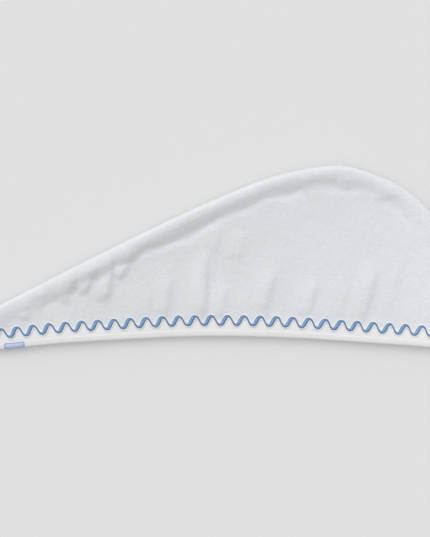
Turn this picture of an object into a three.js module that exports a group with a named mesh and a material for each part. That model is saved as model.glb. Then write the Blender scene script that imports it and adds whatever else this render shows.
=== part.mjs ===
// Hair towel, laid flat: a fin-shaped pouch of two terry panels, sewn together round the curved seam from the
// tail over the crown, and open along the hem, where the head goes in.
// Millimetres. +X runs from the tail to the crown, +Y from the hem to the top of the crown, +Z up.
// The origin lies on the surface under the towel, in the middle of its length and depth.
import * as THREE from "three";

// Driving sizes
const LENGTH = 710; // tail tip to crown
const DEPTH = 269; // lowest point of the hem to the top of the crown
const TERRY = 3; // one ply of terry cloth, pile included
const HOLLOW = 7; // height of the hollow between the two panels
const MOUTH = 5.4; // height of the slit between the two bound hems
const CLEAR = 0.3; // gap between pieces that touch

// The rolled edge along the seam, where the turned seam allowance plumps the cloth
const SEAM_BITE = 4; // width over which the seam holds the two panels together
const SEAM_NOSE = 2; // thickness of each panel where it turns in at the seam
const SEAM_OPENS = 16; // distance from the seam where the hollow has its full height
const SEAM_ALLOWANCE = 1.5; // extra thickness of the turned cloth inside the roll
const ROLL_CREST = 8.5; // distance from the seam to the top of the roll
const ROLL_FOOT = 44; // distance from the seam to the foot of the roll
const ROLL_RISE = 6.5; // height of the roll over the flat of the upper panel
const ROLL_SLUMP = 0.7; // 1 for an even fall to the foot, less for one that is steepest near the crest
const FOLD_RISE = 2.2; // height of the deepest soft fold
const UNDER_CURL = 10; // width of the curl of the lower panel up to the seam
const UNDER_HEM_INSET = 2; // how far the lower hem stays back under the upper one
const UNDER_SEAM_INSET = 1; // how far the lower panel stays back at the seam

// The bound hem
const HEM_PLY = 2; // terry pressed flat inside the binding
const BINDING_WIDTH = 7; // from its fold to its stitched edge
const BINDING_TAPE = 1;
const BINDING_FOLD = 2.5; // from its fold, which is the hem line, to the edge of the terry inside
const HEM_EASE = 16; // distance over which the pressed hem swells to full terry
const HEM_LIFT = 0.3; // the pile around the lower hem carries it just clear of the surface
const HEM_SWAY = 0.5; // slow rise and fall of the upper hem along its length
const HEM_SWAYS = 3; // how often it rises and falls

// The wave trim sewn along the hem of the upper panel
const WAVE_PITCH = 23.2;
const WAVE_HEIGHT = 12; // trough to peak of its middle line
const WAVE_FROM_HEM = 20.5; // hem edge to its middle line
const WAVE_WIDE = 3.7; // width of its rising strokes
const WAVE_NARROW = 1.7; // width of its falling strokes
const WAVE_THICK = 1;
const WAVE_END = 10; // plain hem left at each end, or a little more

// The folded label on the hem near the tail
const LABEL_LENGTH = 29.5;
const LABEL_OVERLAP = 6; // how far it reaches over the towel from the hem line
const LABEL_OVERHANG = 3.4; // how far its fold stands out past the hem line
const LABEL_TAPE = 0.7;

// The closure: a button at the crown end and a loop at the tail
const BUTTON_RADIUS = 8.5;
const BUTTON_THICK = 3;
const BUTTON_RIM = 1.8; // width of the raised rim
const BUTTON_DISH = 0.8; // depth of the hollow inside the rim
const BUTTON_INSET = 2.4; // from the crown edge to its rim
const SHANK_RADIUS = 2.2; // sewing thread wound under the button
const SHANK_HEIGHT = 2.2;
const LOOP_CORD = 3.5; // diameter of the elastic cord
const LOOP_REACH = 44; // how far the loop stands out of the tail
const LOOP_SPREAD = 15; // widest distance between its two sides
const LOOP_LEGS = 5.5; // distance between its two legs at the seam

// Outline of the seam, from the tail end of the hem over the crown to the other end of the hem.
// along and up are shares of LENGTH and DEPTH.
const SEAM_OUTLINE = [
  { along: 0.008, up: 0.0 },
  { along: 0.0, up: 0.035 },
  { along: 0.002, up: 0.086 },
  { along: 0.016, up: 0.136 },
  { along: 0.045, up: 0.186 },
  { along: 0.089, up: 0.251 },
  { along: 0.211, up: 0.417 },
  { along: 0.333, up: 0.578 },
  { along: 0.454, up: 0.733 },
  { along: 0.576, up: 0.874 },
  { along: 0.637, up: 0.934 },
  { along: 0.698, up: 0.975 },
  { along: 0.745, up: 0.994 },
  { along: 0.782, up: 1.0 },
  { along: 0.817, up: 0.982 },
  { along: 0.852, up: 0.948 },
  { along: 0.883, up: 0.916 },
  { along: 0.911, up: 0.874 },
  { along: 0.941, up: 0.81 },
  { along: 0.962, up: 0.752 },
  { along: 0.984, up: 0.664 },
  { along: 0.997, up: 0.54 },
  { along: 1.0, up: 0.396 },
  { along: 0.998, up: 0.198 },
  { along: 0.993, up: 0.024 },
];

// The hem, from the tail to the crown end
const HEM_OUTLINE = [
  { along: 0.008, up: 0.0 },
  { along: 0.089, up: 0.021 },
  { along: 0.211, up: 0.053 },
  { along: 0.333, up: 0.073 },
  { along: 0.454, up: 0.089 },
  { along: 0.576, up: 0.091 },
  { along: 0.698, up: 0.08 },
  { along: 0.82, up: 0.059 },
  { along: 0.941, up: 0.037 },
  { along: 0.993, up: 0.024 },
];

// Where the ribs of the panels run: a share of the hem's length against the share of the seam's that it meets
const RIB_FAN = [
  { hem: 0.0, seam: 0.011 },
  { hem: 0.028, seam: 0.045 },
  { hem: 0.3, seam: 0.268 },
  { hem: 0.565, seam: 0.49 },
  { hem: 0.75, seam: 0.645 },
  { hem: 0.875, seam: 0.79 },
  { hem: 1.0, seam: 0.989 },
];

// How high the roll stands along the seam, as a share of ROLL_RISE
const ROLL_ALONG = [
  { seam: 0.0, rise: 0.3 },
  { seam: 0.08, rise: 0.62 },
  { seam: 0.2, rise: 0.9 },
  { seam: 0.3, rise: 1.0 },
  { seam: 0.5, rise: 1.0 },
  { seam: 0.6, rise: 0.92 },
  { seam: 0.67, rise: 0.86 },
  { seam: 0.72, rise: 0.6 },
  { seam: 0.78, rise: 0.36 },
  { seam: 0.88, rise: 0.3 },
  { seam: 1.0, rise: 0.2 },
];

// Soft folds of the upper panel. along and up place the middle of the crest, as shares of LENGTH and DEPTH;
// reach is half its run, a share of DEPTH; gentle and steep are the widths of its left and right flanks,
// shares of LENGTH; lean is its tilt to the right in degrees; rise is a share of FOLD_RISE.
const FOLDS = [
  { along: 0.493, up: 0.335, reach: 0.2, gentle: 0.021, steep: 0.011, lean: 1, rise: 0.9 },
  { along: 0.538, up: 0.285, reach: 0.13, gentle: 0.018, steep: 0.01, lean: 3, rise: 0.55 },
  { along: 0.628, up: 0.33, reach: 0.2, gentle: 0.022, steep: 0.011, lean: 14, rise: 0.9 },
  { along: 0.72, up: 0.29, reach: 0.15, gentle: 0.022, steep: 0.011, lean: 12, rise: 0.7 },
  { along: 0.834, up: 0.34, reach: 0.22, gentle: 0.023, steep: 0.012, lean: 19, rise: 1.0 },
  { along: 0.884, up: 0.35, reach: 0.24, gentle: 0.018, steep: 0.012, lean: 9, rise: 0.5 },
  { along: 0.426, up: 0.34, reach: 0.17, gentle: 0.02, steep: 0.011, lean: 5, rise: 0.6 },
  { along: 0.382, up: 0.28, reach: 0.12, gentle: 0.018, steep: 0.011, lean: 6, rise: 0.45 },
  { along: 0.3, up: 0.35, reach: 0.12, gentle: 0.018, steep: 0.01, lean: 6, rise: 0.6 },
  { along: 0.523, up: 0.6, reach: 0.14, gentle: 0.02, steep: 0.011, lean: 11, rise: 0.5 },
  { along: 0.568, up: 0.54, reach: 0.13, gentle: 0.02, steep: 0.012, lean: 13, rise: 0.6 },
  { along: 0.21, up: 0.33, reach: 0.08, gentle: 0.014, steep: 0.011, lean: 44, rise: 0.6 },
  { along: 0.256, up: 0.4, reach: 0.08, gentle: 0.013, steep: 0.011, lean: 44, rise: 0.6 },
  { along: 0.302, up: 0.465, reach: 0.09, gentle: 0.013, steep: 0.011, lean: 36, rise: 0.7 },
  { along: 0.8, up: 0.9, reach: 0.1, gentle: 0.016, steep: 0.014, lean: 8, rise: 0.5 },
];

// One side of the closing loop, from the seam to near its tip. out is a share of LOOP_REACH; apart runs from 0
// at the legs to 1 at the full spread; raised runs from 0 on the surface to 1 at the seam.
const LOOP_COURSE = [
  { out: 0.0, apart: 0.0, raised: 1.0 },
  { out: 0.16, apart: 0.0, raised: 0.86 },
  { out: 0.5, apart: 0.75, raised: 0.22 },
  { out: 0.78, apart: 1.0, raised: 0.03 },
  { out: 0.95, apart: 0.45, raised: 0.01 },
];

const RIBS = 66; // ribs of the upper panel
const UNDER_RIBS = 34; // ribs of the lower panel
const WAVE_STEPS = 10; // sections to each wave of the trim
const LABEL_STEPS = 4;
const FALL_ROWS = [1, 0.6, 0.3]; // rows of facets down the roll, shares of the way from its crest to its foot
const EDGE_ROWS = [1, 0.55, 0.25, 0.07, 0]; // rows round the rolled edge, shares of ROLL_CREST
const CURL_ROWS = [1, 0.5, 0.15, 0]; // rows round the curl of the lower panel, shares of UNDER_CURL
const FIELD_ROWS = 7; // rows of facets over the open field of the upper panel
const UNDER_FIELD_ROWS = 2; // rows of facets over the open field of the lower panel
const SHORT_RIB_FILL = 0.95; // share of a short rib that its hem and seam rows may take
const BUTTON_SIDES = 24;
const LOOP_SIDES = 8;
const LOOP_STEPS = 28;
const LABEL_AT = 0.1125; // middle of the label, a share of the hem's length
const BUTTON_UP = 0.21; // height of the button on the crown end, a share of DEPTH
const LOOP_UP = 0.05; // height of the loop on the tail, a share of DEPTH

// Heights that follow from the stack of plies
const BINDING_REACH = CLEAR + BINDING_TAPE; // outer face of the tape over the ply that it wraps
const SEAM_Z = TERRY + HOLLOW / 2; // the seam is halfway up the hollow
const HEM_GAP = MOUTH / 2 + BINDING_REACH; // half the gap between the two plies at the hem
const UNDER_HEM_Z = HEM_LIFT + BINDING_REACH; // underside of the lower ply at the hem
const HEM_Z = UNDER_HEM_Z + HEM_PLY + HEM_GAP; // middle of the mouth
const CORNER_GAP = CLEAR / 2 + BINDING_REACH; // half the gap where the mouth closes

const share = (t) => Math.min(1, Math.max(0, t));
const ease = (t) => share(t) * share(t) * (3 - 2 * share(t));
const mix = (a, b, t) => a + (b - a) * t;

// A value read from a table of rows, in a straight line between one row and the next.
function lookUp(rows, from, to, at) {
  const i = Math.max(1, rows.findIndex((row) => row[from] >= at));
  const [a, b] = [rows[i - 1], rows[i]];
  return mix(a[to], b[to], share((at - a[from]) / (b[from] - a[from])));
}

// A smooth line through a table of outline points, with its points at even steps for measuring distances.
function outline(rows) {
  const points = rows.map(
    ({ along, up }) => new THREE.Vector3((along - 0.5) * LENGTH, (up - 0.5) * DEPTH, 0),
  );
  const curve = new THREE.CatmullRomCurve3(points, false, "centripetal");
  curve.arcLengthDivisions = 800;
  const samples = curve.getSpacedPoints(500);
  return { curve, samples, length: curve.getLength() };
}
const seam = outline(SEAM_OUTLINE);
const hem = outline(HEM_OUTLINE);

// Distance from a plan point to an outline, and the share of the outline's length where it is nearest.
function nearest({ samples }, x, y) {
  let best = { distance: Infinity, at: 0 };
  for (let i = 1; i < samples.length; i++) {
    const [a, b] = [samples[i - 1], samples[i]];
    const [dx, dy] = [b.x - a.x, b.y - a.y];
    const t = share(((x - a.x) * dx + (y - a.y) * dy) / (dx * dx + dy * dy));
    const distance = Math.hypot(x - a.x - t * dx, y - a.y - t * dy);
    if (distance < best.distance) best = { distance, at: (i - 1 + t) / (samples.length - 1) };
  }
  return best;
}

// Height of the soft folds over the flat of the upper panel.
function folds(x, y) {
  let height = 0;
  for (const { along, up, reach, gentle, steep, lean, rise } of FOLDS) {
    const tilt = THREE.MathUtils.degToRad(lean);
    const dx = x - (along - 0.5) * LENGTH;
    const dy = y - (up - 0.5) * DEPTH;
    const run = (dx * Math.sin(tilt) + dy * Math.cos(tilt)) / (reach * DEPTH);
    const across = dx * Math.cos(tilt) - dy * Math.sin(tilt);
    const flank = (across < 0 ? gentle : steep) * LENGTH;
    if (Math.abs(run) < 1)
      height += rise * FOLD_RISE * (1 - run * run) ** 2 * Math.exp(-((across / flank) ** 2));
  }
  return height;
}

// How the cloth lies at a plan point, for a panel that stays back from the hem line by an inset.
function lie(x, y, inset) {
  const { distance: fromSeam, at } = nearest(seam, x, y);
  const fromEdge = nearest(hem, x, y).distance - inset;
  // 1 in the bound hem, 0 in the open cloth
  const pressed = 1 - ease((fromEdge - BINDING_WIDTH - CLEAR) / HEM_EASE);
  const opened = ease((fromSeam - SEAM_BITE) / (SEAM_OPENS - SEAM_BITE));
  const halfGap = mix(
    mix(CLEAR / 2, CORNER_GAP, pressed),
    mix(HOLLOW / 2, HEM_GAP, pressed),
    opened,
  );
  const sway = HEM_SWAY * opened * pressed * Math.sin((x / LENGTH) * HEM_SWAYS * 2 * Math.PI);
  return { fromSeam, at, pressed, opened, halfGap, sway, middle: mix(SEAM_Z, HEM_Z, pressed) };
}

// Outer and inner height of the upper panel at a plan point.
function upperPanel(x, y) {
  const { fromSeam, at, pressed, opened, halfGap, sway, middle } = lie(x, y, 0);
  const ply = mix(TERRY, HEM_PLY, pressed);
  const crest = Math.sqrt(1 - (1 - share(fromSeam / ROLL_CREST)) ** 2);
  const fall = 1 - ease(share((fromSeam - ROLL_CREST) / (ROLL_FOOT - ROLL_CREST)) ** ROLL_SLUMP);
  const roll = ROLL_RISE * lookUp(ROLL_ALONG, "seam", "rise", at) * fall * (1 - pressed);
  const open = mix(HOLLOW / 2, HEM_GAP, pressed) + ply + roll + folds(x, y) * (1 - pressed) * opened;
  const outer = middle + sway + mix(mix(CLEAR / 2, CORNER_GAP, pressed) + SEAM_NOSE, open, crest);
  const turned = SEAM_ALLOWANCE * (1 - ease((fromSeam - SEAM_BITE) / ROLL_CREST)) * (1 - pressed);
  return { outer, inner: Math.max(middle + sway + halfGap, outer - ply - turned) };
}

// Outer and inner height of the lower panel, which rests on the surface.
function lowerPanel(x, y) {
  const { fromSeam, pressed, halfGap, middle } = lie(x, y, UNDER_HEM_INSET);
  const ply = mix(TERRY, HEM_PLY, pressed);
  const curl = 1 - Math.sqrt(1 - (1 - share((fromSeam - UNDER_SEAM_INSET) / UNDER_CURL)) ** 2);
  const rest = UNDER_HEM_Z * pressed;
  const outer = mix(rest, middle - mix(CLEAR / 2, CORNER_GAP, pressed) - SEAM_NOSE, curl);
  return { outer, inner: Math.min(middle - halfGap, outer + ply) };
}

// A closed solid from a row of sections, each with an outer and an inner line of as many points.
// Its faces point outwards when the sections run to +X and the outer line runs to +Y over the top.
function wall(sections) {
  const across = sections[0].outer.length;
  const around = 2 * across;
  const positions = [];
  const faces = [];
  for (const { outer, inner } of sections)
    for (const p of [...outer, ...[...inner].reverse()]) positions.push(p.x, p.y, p.z);
  const quad = (a, b, c, d) => faces.push(a, b, c, a, c, d);
  for (let i = 1; i < sections.length; i++)
    for (let j = 0; j < around; j++) {
      const [here, next] = [j, (j + 1) % around];
      quad((i - 1) * around + here, i * around + here, i * around + next, (i - 1) * around + next);
    }
  const last = (sections.length - 1) * around;
  for (let j = 1; j < across; j++) {
    quad(j - 1, j, around - 1 - j, around - j);
    quad(last + j, last + j - 1, last + around - j, last + around - 1 - j);
  }
  const geometry = new THREE.BufferGeometry();
  geometry.setAttribute("position", new THREE.Float32BufferAttribute(positions, 3));
  geometry.setIndex(faces);
  geometry.computeVertexNormals();
  return geometry;
}

// One rib in plan, from the edge of a panel at the hem to its edge at the seam.
function rib(i, count, hemInset, seamInset) {
  const fan = RIB_FAN.map((row) => ({ ...row, turn: (row.hem + row.seam) / 2 }));
  const turn = mix(fan[0].turn, fan.at(-1).turn, i / (count - 1));
  const foot = hem.curve.getPointAt(share(lookUp(fan, "turn", "hem", turn)));
  const head = seam.curve.getPointAt(share(lookUp(fan, "turn", "seam", turn)));
  const reach = foot.distanceTo(head);
  const fromHem = Math.min(hemInset, reach / 3) / reach;
  const fromSeam = Math.min(seamInset, reach / 3) / reach;
  return new THREE.Line3(foot.clone().lerp(head, fromHem), head.clone().lerp(foot, fromSeam));
}

// Steps up a rib: close together in the roll and the bound hem, wider between, all closer on a short rib.
function stepsUp(reach, nearHem, fieldRows, nearSeam) {
  const scale = Math.min(1, (SHORT_RIB_FILL * reach) / (nearHem.at(-1) + nearSeam[0]));
  const low = nearHem.map((e) => (e * scale) / reach);
  const high = nearSeam.map((d) => 1 - (d * scale) / reach);
  const field = Array.from({ length: fieldRows }, (_, k) =>
    mix(low.at(-1), high[0], (k + 1) / (fieldRows + 1)),
  );
  return [...low, ...field, ...high];
}

// The sections of a panel, one to each rib.
function panel({ ribs, heights, hemInset, seamInset, nearHem, fieldRows, nearSeam }) {
  return Array.from({ length: ribs }, (_, i) => {
    const line = rib(i, ribs, hemInset, seamInset);
    const section = { outer: [], inner: [] };
    for (const v of stepsUp(line.distance(), nearHem, fieldRows, nearSeam)) {
      const { x, y } = line.at(v, new THREE.Vector3());
      const { outer, inner } = heights(x, y);
      section.outer.push(new THREE.Vector3(x, y, outer));
      section.inner.push(new THREE.Vector3(x, y, inner));
    }
    return section;
  });
}

const tucked = BINDING_WIDTH - BINDING_FOLD;
const hemSteps = [0, tucked + CLEAR, tucked + HEM_EASE / 2, tucked + HEM_EASE];
const rollSteps = [
  ...FALL_ROWS.map((row) => mix(ROLL_CREST, ROLL_FOOT, row)),
  ...EDGE_ROWS.map((row) => ROLL_CREST * row),
];
const curlSteps = [SEAM_OPENS, ...CURL_ROWS.map((row) => UNDER_CURL * row)];
const upperSections = panel({
  ribs: RIBS,
  heights: upperPanel,
  hemInset: BINDING_FOLD,
  seamInset: 0,
  nearHem: hemSteps,
  fieldRows: FIELD_ROWS,
  nearSeam: rollSteps,
});
const lowerSections = panel({
  ribs: UNDER_RIBS,
  heights: lowerPanel,
  hemInset: BINDING_FOLD + UNDER_HEM_INSET,
  seamInset: UNDER_SEAM_INSET,
  nearHem: hemSteps,
  fieldRows: UNDER_FIELD_ROWS,
  nearSeam: curlSteps,
});

// Height of the facets of a panel's outer side over a plan point.
function facetHeight(sections, x, y) {
  const inFacet = (a, b, c) => {
    const area = (b.x - a.x) * (c.y - a.y) - (c.x - a.x) * (b.y - a.y);
    const u = ((b.x - x) * (c.y - y) - (c.x - x) * (b.y - y)) / area;
    const v = ((c.x - x) * (a.y - y) - (a.x - x) * (c.y - y)) / area;
    return Math.min(u, v, 1 - u - v) > -1e-6 ? u * a.z + v * b.z + (1 - u - v) * c.z : null;
  };
  for (let i = 1; i < sections.length; i++)
    for (let j = 1; j < sections[i].outer.length; j++) {
      const [a, b] = [sections[i - 1].outer[j - 1], sections[i].outer[j - 1]];
      const [c, d] = [sections[i].outer[j], sections[i - 1].outer[j]];
      const height = inFacet(a, b, c) ?? inFacet(a, c, d);
      if (height !== null) return height;
    }
  return null;
}

// A binding folded over the hem edge of a panel, one section at every rib.
function binding(sections) {
  return sections.map(({ outer, inner }) => {
    const [top, bottom] = outer[0].z > inner[0].z ? [outer, inner] : [inner, outer];
    const inward = new THREE.Vector3().subVectors(outer[1], outer[0]).setZ(0);
    const onPly = Math.min(tucked, inward.length() - CLEAR) / inward.length();
    const fold = outer[0].clone().lerp(inner[0], 0.5);
    inward.normalize();
    const over = ([edge, further], along, lift) =>
      edge.clone().lerp(further, along).add(new THREE.Vector3(0, 0, lift));
    const around = (lift, nose) => [
      over(bottom, onPly, -lift),
      over(bottom, 0, -lift),
      fold.clone().addScaledVector(inward, -nose),
      over(top, 0, lift),
      over(top, onPly, lift),
    ];
    return {
      outer: around(BINDING_REACH, BINDING_FOLD),
      inner: around(CLEAR, BINDING_FOLD - BINDING_TAPE),
    };
  });
}

// The wave trim: a narrow ribbon that lies on the facets of the upper panel.
function waveTrim() {
  const waves = Math.floor((hem.length - 2 * WAVE_END) / WAVE_PITCH);
  const sections = [];
  for (let i = 0; i <= waves * WAVE_STEPS; i++) {
    const turn = (i / WAVE_STEPS) * 2 * Math.PI;
    const at = (WAVE_END + (i / WAVE_STEPS) * WAVE_PITCH) / hem.length;
    const foot = hem.curve.getPointAt(at);
    const forward = hem.curve.getTangentAt(at);
    const inward = new THREE.Vector3(-forward.y, forward.x, 0);
    const slope = ((WAVE_HEIGHT * Math.PI) / WAVE_PITCH) * Math.cos(turn);
    const normal = inward.clone().addScaledVector(forward, -slope).normalize();
    const half = mix(WAVE_NARROW, WAVE_WIDE, (1 + Math.cos(turn)) / 2) / 2;
    const middle = foot.addScaledVector(inward, WAVE_FROM_HEM + (WAVE_HEIGHT / 2) * Math.sin(turn));
    const line = (lift) =>
      [-half, half].map((side) => {
        const p = middle.clone().addScaledVector(normal, side);
        return p.setZ(facetHeight(upperSections, p.x, p.y) + lift);
      });
    sections.push({ outer: line(CLEAR + WAVE_THICK), inner: line(CLEAR) });
  }
  return sections;
}

// The label: a short tape folded over the binding of the upper panel.
function hemLabel() {
  const sections = [];
  for (let i = 0; i <= LABEL_STEPS; i++) {
    const at = LABEL_AT + ((i / LABEL_STEPS - 0.5) * LABEL_LENGTH) / hem.length;
    const foot = hem.curve.getPointAt(at);
    const forward = hem.curve.getTangentAt(at);
    const inward = new THREE.Vector3(-forward.y, forward.x, 0);
    const probe = foot.clone().addScaledVector(inward, BINDING_WIDTH / 2);
    const { outer: high, inner: low } = upperPanel(probe.x, probe.y);
    const over = (e, z) => foot.clone().addScaledVector(inward, e).setZ(z);
    const around = (lift, nose) => [
      over(LABEL_OVERLAP, low - BINDING_REACH - lift),
      over(BINDING_FOLD / 2, low - BINDING_REACH - lift),
      over(-nose, (low + high) / 2),
      over(BINDING_FOLD / 2, high + BINDING_REACH + lift),
      over(LABEL_OVERLAP, high + BINDING_REACH + lift),
    ];
    sections.push({
      outer: around(CLEAR + LABEL_TAPE, LABEL_OVERHANG),
      inner: around(CLEAR, LABEL_OVERHANG - LABEL_TAPE),
    });
  }
  return sections;
}

// The button with the wound thread that holds it, turned about its own axis.
function button() {
  const top = SHANK_HEIGHT + BUTTON_THICK;
  const profile = [
    [0, 0],
    [SHANK_RADIUS, 0],
    [SHANK_RADIUS, SHANK_HEIGHT],
    [BUTTON_RADIUS - BUTTON_THICK / 3, SHANK_HEIGHT],
    [BUTTON_RADIUS, SHANK_HEIGHT + BUTTON_THICK / 2],
    [BUTTON_RADIUS - BUTTON_THICK / 4, top],
    [BUTTON_RADIUS - BUTTON_RIM, top],
    [BUTTON_RADIUS - BUTTON_RIM - BUTTON_DISH, top - BUTTON_DISH],
    [0, top - BUTTON_DISH],
  ].map(([r, z]) => new THREE.Vector2(r, z));
  return new THREE.LatheGeometry(profile, BUTTON_SIDES).rotateX(Math.PI / 2);
}

// The elastic loop, from one leg round to the other. It leaves the seam and comes down onto the surface.
function closingLoop() {
  const side = LOOP_COURSE.map(({ out, apart, raised }) => [
    out * (LOOP_REACH - LOOP_CORD / 2),
    mix(LOOP_LEGS, LOOP_SPREAD, apart) / 2,
    mix(LOOP_CORD / 2, SEAM_Z, raised),
  ]);
  const tip = [LOOP_REACH - LOOP_CORD / 2, 0, LOOP_CORD / 2];
  const back = [...side].reverse().map(([out, y, z]) => [out, -y, z]);
  const path = new THREE.CatmullRomCurve3(
    [...side, tip, ...back].map(([out, y, z]) => new THREE.Vector3(-out, y, z)),
  );
  const round = new THREE.Shape().absarc(0, 0, LOOP_CORD / 2, 0, 2 * Math.PI);
  return new THREE.ExtrudeGeometry(round, {
    extrudePath: path,
    steps: LOOP_STEPS,
    curveSegments: LOOP_SIDES / 2,
    bevelEnabled: false,
  });
}

const terryWhite = new THREE.MeshStandardMaterial({ color: 0xeef0f2, roughness: 0.95, metalness: 0 });
const bindingWhite = new THREE.MeshStandardMaterial({ color: 0xf2f2f3, roughness: 0.85, metalness: 0 });
const waveBlue = new THREE.MeshStandardMaterial({ color: 0x5f8cc4, roughness: 0.55, metalness: 0 });
const labelBlue = new THREE.MeshStandardMaterial({ color: 0xc9cfee, roughness: 0.7, metalness: 0 });
const buttonWhite = new THREE.MeshStandardMaterial({ color: 0xf0f0ee, roughness: 0.3, metalness: 0 });
const elasticWhite = new THREE.MeshStandardMaterial({ color: 0xe9eaec, roughness: 0.8, metalness: 0 });

const towel = new THREE.Group();
function add(name, geometry, material) {
  const mesh = new THREE.Mesh(geometry, material);
  mesh.name = name;
  towel.add(mesh);
  return mesh;
}

add("upper_panel", wall(upperSections), terryWhite);
add("lower_panel", wall([...lowerSections].reverse()), terryWhite);
add("upper_binding", wall(binding(upperSections)), bindingWhite);
add("lower_binding", wall(binding(lowerSections)), bindingWhite);
add("wave_trim", wall(waveTrim()), waveBlue);
add("hem_label", wall(hemLabel()), labelBlue);

// The button stands on the highest facet under its thread, just inside the crown edge.
const closing = add("button", button(), buttonWhite);
const buttonY = (BUTTON_UP - 0.5) * DEPTH;
const crownEdge = Math.max(...seam.samples.filter((p) => p.y < buttonY + BUTTON_RADIUS).map((p) => p.x));
const buttonX = crownEdge - BUTTON_INSET - BUTTON_RADIUS;
const rim = new THREE.Path().absarc(buttonX, buttonY, SHANK_RADIUS, 0, 2 * Math.PI).getPoints(BUTTON_SIDES);
const seat = rim.map(({ x, y }) => facetHeight(upperSections, x, y));
closing.position.set(buttonX, buttonY, Math.max(...seat) + CLEAR);

// The loop's legs meet the tail's end.
const loop = add("closing_loop", closingLoop(), elasticWhite);
loop.position.set(-LENGTH / 2 - CLEAR, (LOOP_UP - 0.5) * DEPTH, 0);

export default towel;
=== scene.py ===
"""A white terry hair towel laid flat on a pale floor, seen from straight above."""

import math
import random

import bpy
import numpy as np
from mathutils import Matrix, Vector, geometry, noise
from mathutils.bvhtree import BVHTree


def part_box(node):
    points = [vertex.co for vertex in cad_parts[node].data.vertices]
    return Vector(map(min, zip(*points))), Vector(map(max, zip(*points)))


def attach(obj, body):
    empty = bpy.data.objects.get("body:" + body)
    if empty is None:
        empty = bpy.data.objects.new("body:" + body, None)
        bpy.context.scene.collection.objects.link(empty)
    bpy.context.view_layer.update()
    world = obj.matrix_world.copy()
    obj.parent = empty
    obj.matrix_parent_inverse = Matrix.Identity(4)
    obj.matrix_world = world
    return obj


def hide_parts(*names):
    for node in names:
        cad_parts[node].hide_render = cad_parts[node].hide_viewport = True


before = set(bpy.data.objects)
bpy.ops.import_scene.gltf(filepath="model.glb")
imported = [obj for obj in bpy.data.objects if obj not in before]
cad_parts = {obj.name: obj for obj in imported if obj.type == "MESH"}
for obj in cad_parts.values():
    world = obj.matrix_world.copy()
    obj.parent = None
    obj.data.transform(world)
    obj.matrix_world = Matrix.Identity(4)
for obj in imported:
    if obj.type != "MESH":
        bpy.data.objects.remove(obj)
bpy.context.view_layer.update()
MM = 0.001
SAME_PLACE = 0.002 * MM  # corners of a CAD mesh nearer than this are one point
QUAD_ANGLE = math.radians(70)  # how far two triangles may lean and still pair
PROBE_HEIGHT = 100 * MM  # above the whole towel
NOISE_REACH = 1.6  # brings smooth noise up to about -1 to 1

# The photograph's frame: its height in pixels, and the real size of one pixel on the towel
FRAME_HEIGHT_PX = 537
PIXEL = 1.44 * MM
VIEW_CENTRE = (18.0 * MM, -14.4 * MM)
CAMERA_HEIGHT = 2.4
SENSOR_HEIGHT = 36
FARTHEST_SEEN = 30
FOCUS_HEIGHT = 14 * MM  # the frame is measured on the towel's upper face

# Light. A zenith angle is measured from straight above, a turn from the top of the frame towards its left.
SKY_STRENGTH = 0.652
SKY_TINT = (0.998, 0.998, 1.0)
KEY = {"strength": 0.66, "zenith": 30, "turn": 10, "across": 50}
RAKING = {"strength": 1.17, "zenith": 62, "turn": 27, "across": 26}
SIDE = {
    "strength": 0.25, "place": (440 * MM, 30 * MM, 210 * MM), "radius": 60 * MM,
    "tint": (1.0, 0.93, 0.98),
}
FLOOR_GREY = 0.90
FLOOR_SIZE = 12
FLOOR_GAP = 0.1 * MM  # keeps the floor clear of the towel's underside

# Terry cloth
TERRY_SUBDIVISIONS = 2
UPPER_FACE_TILT = 0.2  # least upward share of a facet's normal on the upper face
UPPER_FACE_DEPTH = 0.4 * MM
BORDER = 21 * MM  # plain border between the hem and the middle of the wave
BORDER_BLEND_START = BORDER - 2 * MM
BORDER_BLEND = 5 * MM
LUMP_RISE = 0.2 * MM
LUMP_WIDTH = 6 * MM
BORDER_LUMPS = 0.25  # their height in the plain border, as a share
DRAPE_RISE = 0.5 * MM
DRAPE_WIDTH = 60 * MM
DRAPE_FROM_HEM = 8 * MM
DRAPE_FULL_AFTER = 30 * MM
PUCKER_RISE = 0.4 * MM
PUCKER_WIDTH = 13 * MM
PUCKER_LENGTH = 60 * MM
PUCKER_BAND = 9 * MM
SHOULDER_FROM_SEAM = 14 * MM  # from the seam edge to the full inner side of the roll
SHOULDER_WIDTH = 7 * MM
SHOULDER_RISE = 1.2 * MM
HOLLOW_FROM_SEAM = 28.5 * MM  # from the seam edge to the middle of the hollow behind the roll
HOLLOW_WIDTH = 7.5 * MM
HOLLOW_DROP = 2.6 * MM
HOLLOW_STRAY = 0.16  # how far its middle strays, as a share of its distance from the seam edge
HOLLOW_UNEVEN = 0.45  # how far its drop varies, as a share of it
HOLLOW_STRAY_WIDTH = 34 * MM
HEM_FOLD_FACING = 0.8  # least outward share of a normal at the fold of the hem tape
HEM_FULLNESS = 2.8 * MM  # how far the taped hem swells out past its smoothed form
HEM_FULL_FACING = 0.7  # outward share of a normal from which it swells in full
TAPE_TRIM = 3 * MM  # cut off both ends of the hem tape
TAPE_TAPER = 15 * MM  # run over which its fullness grows from its ends
TAPE_WAVER = 0.12 * MM
TAPE_WAVER_WIDTH = 14 * MM

# How deep the hollow behind the rolled edge is along the towel: x in millimetres, depth a share of its drop
HOLLOW_ALONG = [
    {"x": -355, "depth": 0.1}, {"x": -250, "depth": 0.35}, {"x": -160, "depth": 0.85},
    {"x": -110, "depth": 1.0}, {"x": 20, "depth": 1.0}, {"x": 90, "depth": 0.8},
    {"x": 200, "depth": 0.6}, {"x": 275, "depth": 0.45}, {"x": 355, "depth": 0.1},
]

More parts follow.
